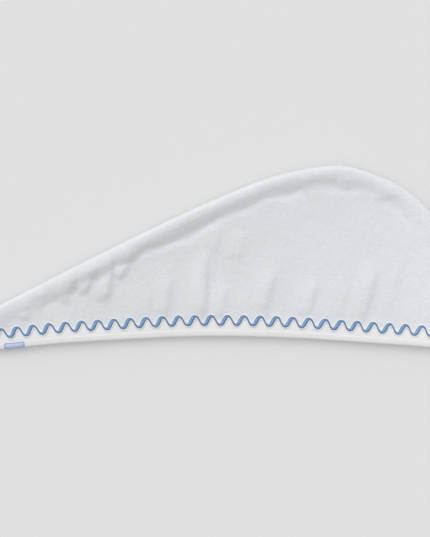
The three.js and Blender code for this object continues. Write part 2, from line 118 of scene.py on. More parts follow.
# Soft folds, in millimetres from the frame's origin. Each runs from its foot to its head, falls gently to
# its left and steeply to its right, and rises by a share of FOLD_RISE.
FOLD_RISE = 2.8 * MM
FOLD_GENTLE = 15 * MM
FOLD_STEEP = 7 * MM
FOLD_FOOT = {"run": 0.3, "start": 0.35}  # share of its length in which a fold rises, and where it starts
FOLD_HEAD = {"run": 0.45, "start": 0.2}
FOLDS_FROM_HEM = 19 * MM
FOLDS_FULL_AFTER = 11 * MM
FOLD_COLUMNS = ("foot_x", "foot_y", "head_x", "head_y", "rise")
FOLDS = [
    (0, -84, 4, 14, 1.25),
    (25, -86, 31, -36, 0.6),
    (15, 10, 24, 50, 0.55),
    (50, -2, 58, 38, 0.5),
    (-57, -82, -47, -26, 0.85),
    (-81, -84, -76, -44, 0.4),
    (86, -76, 104, -12, 0.8),
    (61, -84, 65, -44, 0.25),
    (148, -83, 163, -29, 0.85),
    (178, -86, 185, -58, 0.3),
    (195, -84, 207, -30, 0.35),
    (228, -88, 251, -7, 0.85),
    (267, -78, 288, 8, 0.4),
    (-176, -50, -148, -6, 1.5),
    (-205, -62, -179, -22, 1.3),
    (-141, -60, -130, 4, 1.6),
    (-123, -29, -97, 14, 1.5),
    (-237, -73, -227, -46, 0.6),
    (-257, -88, -251, -58, 0.8),
    (245, 88, 286, 95, 0.75),
    (206, 98, 211, 117, 0.5),
    (146, 98, 154, 117, 0.4),
]

# The sewn edge between the two panels
SEAM_HEIGHT = 6.5 * MM
SEAM_INSET = 2.4 * MM
SEAM_CORD = 2.8 * MM
SEAM_END = 7 * MM  # how far its ends stay inside the towel's corners
SEAM_RINGS = 700
SEAM_SIDES = 10
SEAM_TWIST = 2.6 * MM
SEAM_PLY = 0.08  # depth of its twist, as a share of its radius
HEM_BAND = 9 * MM  # sides of the outline nearer than this to the hem line are the hem's
SHORTEST_SIDE = 0.1 * MM

# Satin-stitched wave, laid over the CAD trim
WAVE_PITCH = 23.2 * MM
WAVE_HEIGHT = 12 * MM  # trough to peak of its middle line
WAVE_FROM_HEM = 20.5 * MM
WAVE_START = 10 * MM  # along the hem, from its left end
WAVES = 29
WAVE_STEPS = 200  # of its path, in each wave
WAVE_WIDE = 5.8 * MM  # length of the stitches in a rising stroke
WAVE_NARROW = 2.3 * MM  # and in a falling one
WAVE_ROUNDNESS = 0.07  # share of a third harmonic, which broadens its peaks and troughs
WAVE_EDGING = 1.35 * MM  # diameter of the white cord laid along both of its sides
WAVE_EDGING_OUT = 0.42  # how far the cord's middle is outside and above the stitches' ends, in diameters
WAVE_EDGING_UP = 0.4
WAVE_EDGING_STEPS = 100
WAVE_EDGING_STITCH = 1.7 * MM
WAVE_EDGING_OVERLAP = 0.5
WAVE_EDGING_ARCH = 0.1 * MM
WAVE_STITCH_PITCH = 0.52 * MM
WAVE_THREAD = 0.62 * MM
WAVE_CROWN = 0.75 * MM  # how far the middle of a stitch stands above its ends
WAVE_SEAT = 0.45 * MM  # height of a stitch's ends over the terry
WAVE_LEAST_RISE = 0.2 * MM
WAVE_STITCH_UNEVEN = 0.04  # how far the stitches' lengths stray, as a share
PADDING_SHARE = 0.55  # height of the padding as a share of the CAD trim's
# painted shade: lift and side keep the padding dark, as if in shade below the stitches; strand gives its
# tone
PADDING_TONE_AND_PAINTED_SHADE = {"lift": 0.25, "side": 0.3, "strand": 0.5}  # the thread's look all over the padding

# Stitching along the hem
HEM_STITCH = 2.6 * MM
HEM_STITCH_PITCH = 3.6 * MM
HEM_THREAD = 0.5 * MM
HEM_STITCH_ARCH = 0.15 * MM
HEM_STITCH_FROM_EDGE = 5.3 * MM
HEM_STITCH_END = 6 * MM

# Thread shape, with its length from -0.5 to 0.5
THREAD_CUTS = (-0.36, 0, 0.36)
THREAD_END = 0.45  # past this are the rings at its ends
THREAD_END_RADIUS = 0.45

# Label, in millimetres
LABEL_FRAME = 1.2  # from its edges to the middle of its woven frame
LABEL_FRAME_HALF = 0.55

# Button
WIND_RADIUS = 1.8 * MM  # middle line of the thread wound round the shank
SHANK_HEIGHT = 2.2 * MM
SHANK_WINDS = 5
BUTTON_SIDES = 64
BUTTON_DISH = 0.84 * MM
BUTTON_MIDDLE = 0.4 * MM  # radius of the innermost ring
HOLE_RADIUS = 0.75 * MM
HOLE_SPREAD = 3.4 * MM
DRILL_PAST = 1 * MM  # how far the drill runs past both faces
BUTTON_THREAD = 0.55 * MM
BUTTON_THREAD_APART = 0.22 * MM  # of each strand from the line through its holes
BUTTON_THREAD_PAST = 0.3 * MM  # how far a strand runs past its holes
BUTTON_THREAD_ARCH = 0.35 * MM
SHANK_WIND = 0.27 * MM  # radius of the wound thread
SHANK_WAVER = 0.12 * MM
SHANK_TILT = 0.05  # of each wind, in radians

# The button's outline, from its underside round its rim to its dished upper face: how far in from its radius
# and how far above its base or its top each ring is, in millimetres
BUTTON_COLUMNS = ("inset", "level", "above")
BUTTON_PROFILE = [
    (1.6, "base", 0.0),
    (0.7, "base", 0.25),
    (0.15, "base", 0.9),
    (0.0, "base", 1.5),
    (0.12, "base", 2.2),
    (0.5, "top", -0.22),
    (1.0, "top", 0.0),
    (1.5, "top", -0.06),
    (2.0, "top", -0.4),
    (2.5, "top", -0.72),
    (3.2, "top", -0.82),
]

# Closing loop, as the CAD cord runs. out is a share of its reach; apart runs from its legs to its widest;
# raised runs from the surface to the seam. Its legs start inside the towel.
LOOP_CORD = 3.5 * MM
LOOP_REACH = 44 * MM
LOOP_SPREAD = 15 * MM
LOOP_LEGS = 5.5 * MM
LOOP_ROOT = (-355.3 * MM, -121.05 * MM)
LOOP_COURSE = [
    {"out": -0.2, "apart": 0.0, "raised": 1.0},
    {"out": 0.0, "apart": 0.0, "raised": 1.0},
    {"out": 0.16, "apart": 0.0, "raised": 0.86},
    {"out": 0.5, "apart": 0.75, "raised": 0.22},
    {"out": 0.78, "apart": 1.0, "raised": 0.03},
    {"out": 0.95, "apart": 0.45, "raised": 0.01},
]
LOOP_SIDES = 24
LOOP_RINGS = 320
LOOP_STEPS = 40  # of its route between two points of its course
BRAID_STRANDS = 8
BRAID_PITCH = 6 * MM
BRAID_DEPTH = 0.16 * MM


# Selecting and reading meshes

def only(piece):
    """Makes a piece the only one that is selected and active."""
    bpy.ops.object.select_all(action="DESELECT")
    piece.select_set(True)
    bpy.context.view_layer.objects.active = piece


def copy_of(node, name):
    """A new piece with a CAD node's mesh, its loose triangles merged and paired into quads."""
    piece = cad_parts[node].copy()
    piece.data = piece.data.copy()
    for key in list(piece.keys()):
        del piece[key]
    piece.name = name
    piece.data.name = name
    piece.parent = None
    piece.data.materials.clear()
    bpy.context.scene.collection.objects.link(piece)
    only(piece)
    bpy.ops.object.mode_set(mode="EDIT")
    bpy.ops.mesh.select_all(action="SELECT")
    bpy.ops.mesh.remove_doubles(threshold=SAME_PLACE)
    bpy.ops.mesh.tris_convert_to_quads(face_threshold=QUAD_ANGLE, shape_threshold=QUAD_ANGLE)
    bpy.ops.object.mode_set(mode="OBJECT")
    return piece


def subdivided(piece, levels):
    only(piece)
    smooth = piece.modifiers.new("smooth", "SUBSURF")
    smooth.levels = levels
    smooth.render_levels = levels
    bpy.ops.object.modifier_apply(modifier=smooth.name)
    bpy.ops.object.shade_smooth()
    return piece


def places(piece):
    points = np.empty(len(piece.data.vertices) * 3)
    piece.data.vertices.foreach_get("co", points)
    return points.reshape(-1, 3)


def set_places(piece, points):
    piece.data.vertices.foreach_set("co", points.ravel())
    piece.data.update()


def normals(piece):
    directions = np.empty(len(piece.data.vertices) * 3)
    piece.data.vertices.foreach_get("normal", directions)
    return directions.reshape(-1, 3)


def set_attribute(piece, name, values):
    """A number at every point, which a material reads."""
    attribute = piece.data.attributes.new(name, "FLOAT", "POINT")
    attribute.data.foreach_set("value", np.asarray(values, dtype=np.float32))


def top_of(piece):
    """A function that gives the height of a piece's upper face over a plan point."""
    corners = [vertex.co for vertex in piece.data.vertices]
    tree = BVHTree.FromPolygons(corners, [face.vertices for face in piece.data.polygons])

    def height(x, y):
        hit = tree.ray_cast(Vector((x, y, PROBE_HEIGHT)), Vector((0, 0, -1)))[0]
        return hit.z if hit else None

    return height


def mesh_piece(name, points, faces):
    mesh = bpy.data.meshes.new(name)
    mesh.from_pydata(np.asarray(points).tolist(), [], faces)
    mesh.polygons.foreach_set("use_smooth", [True] * len(mesh.polygons))
    piece = bpy.data.objects.new(name, mesh)
    bpy.context.scene.collection.objects.link(piece)
    return piece


def run_along(points):
    """Distance along a line of points, at each of them."""
    return np.concatenate([[0], np.cumsum(np.linalg.norm(np.diff(points, axis=0), axis=1))])


def points_at(stations, points):
    """The places on a line of points that are at given distances along it."""
    run = run_along(points)
    return np.column_stack([np.interp(stations, run, column) for column in points.T])


def tube(name, middle, side, up, turn, radius):
    """A closed tube round a line of points. Its radius is given at each point and each angle of turn."""
    rings, sides = radius.shape
    ring = np.cos(turn)[None, :, None] * side[:, None] + np.sin(turn)[None, :, None] * up
    points = middle[:, None] + ring * radius[:, :, None]
    faces = []
    for i in range(rings - 1):
        for j in range(sides):
            a, b = i * sides + j, i * sides + (j + 1) % sides
            faces.append((a, b, b + sides, a + sides))
    last = (rings - 1) * sides
    faces.append(tuple(reversed(range(sides))))
    faces.append(tuple(range(last, last + sides)))
    return mesh_piece(name, points.reshape(-1, 3), faces)


def noise_over(points, sizes, seed):
    """Smooth noise from about -1 to 1, with its own width along each axis."""
    scaled = points / np.asarray(sizes) + seed
    return np.array([noise.noise(Vector(p)) for p in scaled]) * NOISE_REACH


def ease(t):
    t = np.clip(t, 0, 1)
    return t * t * (3 - 2 * t)


# The hem and the seam edge, read from the CAD pieces

def hem_line():
    """The fold of the upper binding, from left to right."""
    binding = copy_of("upper_binding", "hem_probe")
    points, facing = places(binding), normals(binding)
    fold = points[facing[:, 1] < -HEM_FOLD_FACING]
    bpy.data.objects.remove(binding)
    fold = fold[np.argsort(fold[:, 0])]
    return fold[:, 0], fold[:, 1]


HEM_X, HEM_Y = hem_line()
HEM_RUN = run_along(np.column_stack([HEM_X, HEM_Y]))
HEM_SLOPE = np.gradient(HEM_Y, HEM_X)


def from_hem(points):
    """Distance in from the hem line, in plan."""
    lean = np.interp(points[:, 0], HEM_X, HEM_SLOPE)
    return (points[:, 1] - np.interp(points[:, 0], HEM_X, HEM_Y)) / np.sqrt(1 + lean**2)


def hem_frame(run):
    """A point of the hem line, and its directions forward and inward, at a distance along it."""
    spot = np.column_stack([np.interp(run, HEM_RUN, HEM_X), np.interp(run, HEM_RUN, HEM_Y)])
    ahead = np.column_stack([np.interp(run + MM, HEM_RUN, HEM_X), np.interp(run + MM, HEM_RUN, HEM_Y)])
    back = np.column_stack([np.interp(run - MM, HEM_RUN, HEM_X), np.interp(run - MM, HEM_RUN, HEM_Y)])
    forward = ahead - back
    forward /= np.linalg.norm(forward, axis=1)[:, None]
    return spot, forward, np.column_stack([-forward[:, 1], forward[:, 0]])


def seam_edge():
    """The convex outline of the towel, without the stretch along the hem, as the ends of its sides."""
    corners = [vertex.co.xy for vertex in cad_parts["upper_panel"].data.vertices]
    ring = np.array([corners[i] for i in geometry.convex_hull_2d(corners)])
    starts, ends = ring, np.roll(ring, -1, axis=0)
    off_hem = from_hem((starts + ends) / 2) > HEM_BAND
    real = np.linalg.norm(ends - starts, axis=1) > SHORTEST_SIDE
    return starts[off_hem & real], ends[off_hem & real]


def from_seam(points):
    """Distance in from the seam edge, in plan."""
    nearest = np.full(len(points), np.inf)
    for start, end in zip(*seam_edge()):
        way = end - start
        share = np.clip((points[:, :2] - start) @ way / (way @ way), 0, 1)
        nearest = np.minimum(nearest, np.linalg.norm(points[:, :2] - start - share[:, None] * way, axis=1))
    return nearest


# Nodes of materials

def material(name):
    made = bpy.data.materials.new(name)
    made.use_nodes = True
    return made, made.node_tree, made.node_tree.nodes["Principled BSDF"]


def add(tree, kind, inputs=None, **settings):
    node = tree.nodes.new(kind)
    for key, value in settings.items():
        setattr(node, key, value)
    for key, value in (inputs or {}).items():
        if isinstance(value, bpy.types.NodeSocket):
            tree.links.new(value, node.inputs[key])
        else:
            node.inputs[key].default_value = value
    return node


def maths(tree, operation, first, second=0.0, clamp=False):
    node = add(tree, "ShaderNodeMath", {0: first, 1: second}, operation=operation, use_clamp=clamp)
    return node.outputs[0]


def mixed(tree, factor, first, second):
    node = add(tree, "ShaderNodeMix", data_type="RGBA")
    for key, value in (("Factor", factor), ("A", first), ("B", second)):
        socket = next(s for s in node.inputs if s.name == key and s.enabled)
        if isinstance(value, bpy.types.NodeSocket):
            tree.links.new(value, socket)
        else:
            socket.default_value = value
    return next(s for s in node.outputs if s.enabled)


def attribute(tree, name):
    return add(tree, "ShaderNodeAttribute", attribute_name=name).outputs["Fac"]


def object_place(tree):
    return add(tree, "ShaderNodeTexCoord").outputs["Object"]


def bumped(tree, shader, height, strength, distance):
    bump = add(tree, "ShaderNodeBump", {"Strength": strength, "Distance": distance, "Height": height})
    tree.links.new(bump.outputs["Normal"], shader.inputs["Normal"])


def shader_group(name, inputs, outputs):
    """An empty node group with its inputs and outputs."""
    group = bpy.data.node_groups.new(name, "ShaderNodeTree")
    for label, kind, value in inputs:
        socket = group.interface.new_socket(name=label, in_out="INPUT", socket_type=kind)
        if value is not None:
            socket.default_value = value
    for label, kind in outputs:
        group.interface.new_socket(name=label, in_out="OUTPUT", socket_type=kind)
    return group, group.nodes.new("NodeGroupInput"), group.nodes.new("NodeGroupOutput")


def use(tree, group, **inputs):
    node = tree.nodes.new("ShaderNodeGroup")
    node.node_tree = group
    for label, value in inputs.items():
        socket = node.inputs[label.replace("_", " ")]
        if isinstance(value, bpy.types.NodeSocket):
            tree.links.new(value, socket)
        else:
            socket.default_value = value
    return node


def pile_group():
    """Terry loops: small round tufts that clump, on a cloth that drifts in tone. Its second output is
    painted shade, darker where the pile is low between the tufts.
    """
    tree, given, put = shader_group(
        "terry_pile",
        [("Vector", "NodeSocketVector", None), ("Loops per metre", "NodeSocketFloat", 700.0),
         ("Pile", "NodeSocketFloat", 1.0)],
        [("Height", "NodeSocketFloat"), ("Painted_pile_shade", "NodeSocketFloat"), ("Drift", "NodeSocketFloat")],
    )
    place, loops, pile = given.outputs[0], given.outputs[1], given.outputs[2]
    tufts = add(tree, "ShaderNodeTexVoronoi",
                {"Vector": place, "Scale": loops, "Randomness": 0.85, "Smoothness": 0.4},
                feature="SMOOTH_F1")
    clumps = add(tree, "ShaderNodeTexNoise",
                 {"Vector": place, "Scale": maths(tree, "MULTIPLY", loops, 0.3), "Detail": 3.0})
    drift = add(tree, "ShaderNodeTexNoise", {"Vector": place, "Scale": 9.0, "Detail": 2.0})
    round_tops = maths(tree, "SUBTRACT", 0.8, tufts.outputs["Distance"])
    relief = maths(tree, "ADD", round_tops, maths(tree, "MULTIPLY", clumps.outputs["Fac"], 0.8))
    # painted shade: this mask darkens the colour where the pile is low, between the tufts
    hollow = maths(tree, "SUBTRACT", 1.1, relief, clamp=True)
    tree.links.new(maths(tree, "MULTIPLY", relief, pile), put.inputs["Height"])
    tree.links.new(maths(tree, "MULTIPLY", hollow, pile), put.inputs["Painted_pile_shade"])
    tree.links.new(drift.outputs["Fac"], put.inputs["Drift"])
    return tree


def weave_group():
    """Plain weave: warp and weft crossing over and under, with slubs. Its second output is painted shade,
    lighter on raised threads and slubs and darker where they pass under.
    """
    tree, given, put = shader_group(
        "plain_weave",
        [("Vector", "NodeSocketVector", None), ("Threads per metre", "NodeSocketFloat", 1600.0)],
        [("Height", "NodeSocketFloat"), ("Painted_weave_shade", "NodeSocketFloat")],
    )
    place, threads_per_metre = given.outputs[0], given.outputs[1]
    axes = add(tree, "ShaderNodeSeparateXYZ", {"Vector": place})
    turn = [maths(tree, "MULTIPLY", maths(tree, "MULTIPLY", axes.outputs[axis], threads_per_metre), math.pi)
            for axis in ("X", "Y")]
    over = maths(tree, "MULTIPLY", maths(tree, "SINE", turn[0]), maths(tree, "SINE", turn[1]))
    slubs = add(tree, "ShaderNodeTexNoise", {"Vector": place, "Scale": 220.0, "Detail": 2.0})
    height = maths(tree, "ADD", maths(tree, "MULTIPLY", over, 0.5), slubs.outputs["Fac"])
    tree.links.new(height, put.inputs["Height"])
    # painted shade: the colour follows the weave's height
    tree.links.new(maths(tree, "MULTIPLY", height, 0.5, clamp=True), put.inputs["Painted_weave_shade"])
    return tree


PILE = pile_group()
WEAVE = weave_group()


# Materials

def cloth_finish(shader, roughness, sheen):
    shader.inputs["Roughness"].default_value = roughness
    shader.inputs["Sheen Weight"].default_value = sheen
    shader.inputs["Sheen Roughness"].default_value = 0.6
    shader.inputs["Specular IOR Level"].default_value = 0.2


def white_terry():
    """Cool white pile in the open cloth with painted shade in the hollows between its tufts, a plainer and
    brighter cloth in the border along the hem.
    """
    made, tree, shader = material("white_terry")
    cloth_finish(shader, 0.95, 0.15)
    place = object_place(tree)
    pile = attribute(tree, "pile")
    loops = use(tree, PILE, Vector=place, Pile=pile)
    weave = use(tree, WEAVE, Vector=place, Threads_per_metre=900.0)
    open_cloth = mixed(tree, loops.outputs["Drift"], (0.668, 0.695, 0.716, 1), (0.735, 0.756, 0.780, 1))
    # painted shade: the pile turns grey-blue in the hollows between its tufts
    pile_with_painted_shade = mixed(tree, maths(tree, "MULTIPLY", loops.outputs["Painted_pile_shade"], 0.22), open_cloth,
                    (0.53, 0.56, 0.585, 1))
    # painted shade in the border's weave, darker where threads pass under
    border = mixed(tree, weave.outputs["Painted_weave_shade"], (0.745, 0.748, 0.752, 1), (0.80, 0.802, 0.806, 1))
    tree.links.new(mixed(tree, pile, border, pile_with_painted_shade), shader.inputs["Base Color"])
    fine = maths(tree, "MULTIPLY", weave.outputs["Height"], 0.12)
    bumped(tree, shader, maths(tree, "ADD", loops.outputs["Height"], fine), 0.62, 0.8 * MM)
    return made


def binding_tape():
    made, tree, shader = material("binding_tape")
    cloth_finish(shader, 0.85, 0.1)
    weave = use(tree, WEAVE, Vector=object_place(tree), Threads_per_metre=1500.0)
    # painted shade in the tape's weave, darker where threads pass under
    colour = mixed(tree, weave.outputs["Painted_weave_shade"], (0.770, 0.774, 0.780, 1), (0.845, 0.849, 0.855, 1))
    tree.links.new(colour, shader.inputs["Base Color"])
    bumped(tree, shader, weave.outputs["Height"], 0.6, 0.25 * MM)
    return made


def blue_thread():
    """Glossy thread: each strand has its own tone. Its colour carries painted light: painted shade at a
    stitch's ends, on its lower side and on narrow strokes, and a painted highlight along its crown and upper
    side.
    """
    made, tree, shader = material("blue_thread")
    shader.inputs["Roughness"].default_value = 0.45
    shader.inputs["Specular IOR Level"].default_value = 0.4
    shader.inputs["Sheen Weight"].default_value = 0.1
    place = object_place(tree)
    tone = add(tree, "ShaderNodeTexNoise", {"Vector": place, "Scale": 130.0, "Detail": 2.0})
    twist = add(tree, "ShaderNodeTexNoise", {"Vector": place, "Scale": 2600.0, "Detail": 1.0})
    # painted light: lighter towards a stitch's upper end, darker towards its lower end
    crown = mixed(tree, attribute(tree, "side"), (0.10, 0.225, 0.46, 1), (0.46, 0.66, 0.93, 1))
    # painted shade at a stitch's ends and along narrow strokes, where lift is low
    across = mixed(tree, attribute(tree, "lift"), (0.035, 0.100, 0.25, 1), crown)
    strands = mixed(tree, maths(tree, "MULTIPLY", attribute(tree, "strand"), 0.3), across,
                    (0.12, 0.26, 0.52, 1))
    patches = mixed(tree, maths(tree, "MULTIPLY", tone.outputs["Fac"], 0.3), strands, (0.10, 0.23, 0.49, 1))
    tree.links.new(patches, shader.inputs["Base Color"])
    bumped(tree, shader, twist.outputs["Fac"], 0.35, 0.1 * MM)
    return made


def label_ribbon():
    """Pale blue ribbon weave with a darker woven frame near its edges. UV is in millimetres."""
    made, tree, shader = material("label_ribbon")
    cloth_finish(shader, 0.6, 0.1)
    spot = add(tree, "ShaderNodeUVMap", uv_map="UVMap").outputs["UV"]
    ribs = add(tree, "ShaderNodeTexWave", {"Vector": spot, "Scale": 0.9, "Distortion": 0.3},
               bands_direction="X")
    ground = mixed(tree, ribs.outputs["Fac"], (0.50, 0.56, 0.78, 1), (0.63, 0.68, 0.86, 1))
    from_frame = maths(tree, "ABSOLUTE", maths(tree, "SUBTRACT", attribute(tree, "inset"), LABEL_FRAME))
    on_frame = maths(tree, "LESS_THAN", from_frame, LABEL_FRAME_HALF)
    colour = mixed(tree, maths(tree, "MULTIPLY", on_frame, 0.75), ground, (0.17, 0.27, 0.60, 1))
    tree.links.new(colour, shader.inputs["Base Color"])
    bumped(tree, shader, ribs.outputs["Fac"], 0.4, 0.15 * MM)
    return made


def white_thread():
    made, tree, shader = material("white_thread")
    cloth_finish(shader, 0.6, 0.1)
    twist = add(tree, "ShaderNodeTexNoise", {"Vector": object_place(tree), "Scale": 1500.0, "Detail": 2.0})
    colour = mixed(tree, twist.outputs["Fac"], (0.84, 0.84, 0.846, 1), (0.95, 0.95, 0.954, 1))
    tree.links.new(colour, shader.inputs["Base Color"])
    bumped(tree, shader, twist.outputs["Fac"], 0.5, 0.1 * MM)
    return made


def button_resin():
    """Polished white resin, a little cloudy, with fine scratches that catch the light."""
    made, tree, shader = material("button_resin")
    shader.inputs["Specular IOR Level"].default_value = 0.5
    shader.inputs["Coat Weight"].default_value = 0.2
    place = object_place(tree)
    cloud = add(tree, "ShaderNodeTexNoise", {"Vector": place, "Scale": 240.0, "Detail": 3.0})
    wear = add(tree, "ShaderNodeTexNoise", {"Vector": place, "Scale": 900.0, "Detail": 4.0})
    colour = mixed(tree, cloud.outputs["Fac"], (0.78, 0.775, 0.76, 1), (0.87, 0.868, 0.86, 1))
    tree.links.new(colour, shader.inputs["Base Color"])
    rough = maths(tree, "ADD", maths(tree, "MULTIPLY", wear.outputs["Fac"], 0.25), 0.18)
    tree.links.new(rough, shader.inputs["Roughness"])
    bumped(tree, shader, wear.outputs["Fac"], 0.1, 0.05 * MM)
    return made


def braided_elastic():
    """White braid over a rubber core: the strands are in the mesh, and each is a bundle of fine yarn. The
    grooves between strands are darkened with painted shade.
    """
    made, tree, shader = material("braided_elastic")
    cloth_finish(shader, 0.7, 0.15)
    yarn = add(tree, "ShaderNodeTexNoise", {"Vector": object_place(tree), "Scale": 2200.0, "Detail": 2.0})
    top = mixed(tree, yarn.outputs["Fac"], (0.78, 0.78, 0.785, 1), (0.88, 0.88, 0.882, 1))
    # painted shade in the grooves between the braid's strands
    colour = mixed(tree, attribute(tree, "painted_groove_shade"), top, (0.50, 0.50, 0.515, 1))
    tree.links.new(colour, shader.inputs["Base Color"])
    bumped(tree, shader, yarn.outputs["Fac"], 0.4, 0.12 * MM)
    return made


def pale_floor():
    made, tree, shader = material("pale_floor")
    shader.inputs["Roughness"].default_value = 0.9
    shader.inputs["Specular IOR Level"].default_value = 0.1
    shader.inputs["Base Color"].default_value = (FLOOR_GREY, FLOOR_GREY, FLOOR_GREY, 1)
    return made


# Terry panels

def finer_upper_face(piece):
    """Splits each facet of a panel's upper face in four, where the folds show."""
    top = top_of(piece)
    only(piece)
    bpy.ops.object.mode_set(mode="EDIT")
    bpy.ops.mesh.select_all(action="DESELECT")
    bpy.ops.object.mode_set(mode="OBJECT")
    for face in piece.data.polygons:
        x, y, z = face.center
        over = top(x, y)
        on_top = over is not None and over - z < UPPER_FACE_DEPTH
        face.select = on_top and face.normal.z > UPPER_FACE_TILT
    bpy.ops.object.mode_set(mode="EDIT")
    bpy.ops.mesh.subdivide(number_cuts=1, smoothness=0.6)
    bpy.ops.object.mode_set(mode="OBJECT")


def folds_over(points):
    """How much the folds lift the cloth."""
    lift = np.zeros(len(points))
    for row in FOLDS:
        fold = dict(zip(FOLD_COLUMNS, row))
        foot = np.array([fold["foot_x"], fold["foot_y"]]) * MM
        head = np.array([fold["head_x"], fold["head_y"]]) * MM
        length = np.linalg.norm(head - foot)
        way = (head - foot) / length
        away = points[:, :2] - foot
        along = away @ way / length
        to_right = away @ np.array([way[1], -way[0]])
        width = np.where(to_right > 0, FOLD_STEEP, FOLD_GENTLE)
        fade = ease(along / FOLD_FOOT["run"] + FOLD_FOOT["start"])
        fade *= ease((1 - along) / FOLD_HEAD["run"] + FOLD_HEAD["start"])
        lift = np.maximum(lift, fold["rise"] * fade * np.exp(-((to_right / width) ** 2)))
    return lift * FOLD_RISE


def hollow_behind_roll(points):
    """How much the cloth drops in the hollow behind the rolled edge, or rises on the roll's shoulder."""
    inward = from_seam(points)
    stations = [row["x"] * MM for row in HOLLOW_ALONG]
    depth = np.interp(points[:, 0], stations, [row["depth"] for row in HOLLOW_ALONG])
    wander = noise_over(points, (HOLLOW_STRAY_WIDTH,) * 3, 7.7)
    middle = HOLLOW_FROM_SEAM * (1 + HOLLOW_STRAY * wander)
    hollow = np.exp(-(((inward - middle) / HOLLOW_WIDTH) ** 2)) * HOLLOW_DROP
    shoulder = np.exp(-(((inward - SHOULDER_FROM_SEAM) / SHOULDER_WIDTH) ** 2)) * SHOULDER_RISE
    return depth * ((1 + HOLLOW_UNEVEN * wander) * hollow - shoulder)


def drape(points):
    """The height that the cloth gains by its slow unevenness, its folds, its hollow and its puckers."""
    inward = from_hem(points)
    slow = noise_over(points, (DRAPE_WIDTH,) * 3, 3.7) * DRAPE_RISE
    slow *= ease((inward - DRAPE_FROM_HEM) / DRAPE_FULL_AFTER)
    by_wave = np.exp(-(((inward - BORDER) / PUCKER_BAND) ** 2))
    puckers = noise_over(points, (PUCKER_WIDTH, PUCKER_LENGTH, 1), 5.3) * PUCKER_RISE * by_wave
    clear_of_hem = ease((inward - FOLDS_FROM_HEM) / FOLDS_FULL_AFTER)
    return slow + puckers + (folds_over(points) - hollow_behind_roll(points)) * clear_of_hem


def terry_panel(node, name, cloth, draped):
    piece = subdivided(copy_of(node, name), TERRY_SUBDIVISIONS)
    if draped:
        finer_upper_face(piece)
    points, outward = places(piece), normals(piece)
    open_cloth = ease((from_hem(points) - BORDER_BLEND_START) / BORDER_BLEND)
    bumpy = BORDER_LUMPS + (1 - BORDER_LUMPS) * open_cloth
    lumps = noise_over(points, (LUMP_WIDTH,) * 3, 1.3) * LUMP_RISE * bumpy
    if draped:
        points[:, 2] += drape(points)
    points += outward * lumps[:, None]
    points[:, 2] = np.maximum(points[:, 2], 0)
    set_places(piece, points)
    set_attribute(piece, "pile", open_cloth)
    piece.data.materials.append(cloth)
    return piece


def seam_cord(look):
    """The sewn edge that joins the two panels, a cord just inside their rims."""
    starts, ends = seam_edge()
    first = int(np.argmax(np.linalg.norm(starts - np.roll(ends, 1, axis=0), axis=1)))
    corners = np.vstack([np.roll(starts, -first, axis=0), np.roll(ends, -first, axis=0)[-1:]])
    stations = np.linspace(SEAM_END, run_along(corners)[-1] - SEAM_END, SEAM_RINGS)
    edge = points_at(stations, corners)
    forward = np.gradient(edge, axis=0)
    forward /= np.linalg.norm(forward, axis=1)[:, None]
    inward = np.column_stack([-forward[:, 1], forward[:, 0]])
    inward *= np.sign(np.sum(inward * (edge.mean(0) - edge), axis=1))[:, None]
    middle = np.column_stack([edge + inward * SEAM_INSET, np.full(SEAM_RINGS, SEAM_HEIGHT)])
    side = np.column_stack([inward, np.zeros(SEAM_RINGS)])
    turn = np.arange(SEAM_SIDES) / SEAM_SIDES * 2 * math.pi
    ply = 1 + SEAM_PLY * np.sin(stations[:, None] / SEAM_TWIST * 2 * math.pi + 2 * turn[None, :])
    piece = tube("seam_cord", middle, side, np.array([0, 0, 1]), turn, SEAM_CORD / 2 * ply)
    only(piece)
    bpy.ops.object.mode_set(mode="EDIT")
    bpy.ops.mesh.select_all(action="SELECT")
    bpy.ops.mesh.normals_make_consistent(inside=False)
    bpy.ops.object.mode_set(mode="OBJECT")
    piece.data.materials.append(look)
    return piece


# Threads

def thread_shape():
    """One thread along X, a metre long and of one metre's radius, narrower at both ends."""
    bpy.ops.object.select_all(action="DESELECT")
    bpy.ops.mesh.primitive_cylinder_add(vertices=5, radius=1, depth=1, rotation=(0, math.pi / 2, 0))
    thread = bpy.context.object
    bpy.ops.object.transform_apply(location=True, rotation=True, scale=True)
    bpy.ops.object.mode_set(mode="EDIT")
    for cut in THREAD_CUTS:
        bpy.ops.mesh.select_all(action="SELECT")
        bpy.ops.mesh.bisect(plane_co=(cut, 0, 0), plane_no=(1, 0, 0))
    bpy.ops.object.mode_set(mode="OBJECT")
    points = places(thread)
    points[np.abs(points[:, 0]) > THREAD_END, 1:] *= THREAD_END_RADIUS
    faces = [tuple(face.vertices) for face in thread.data.polygons]
    bpy.data.objects.remove(thread)
    return points, faces


THREAD_POINTS, THREAD_FACES = thread_shape()


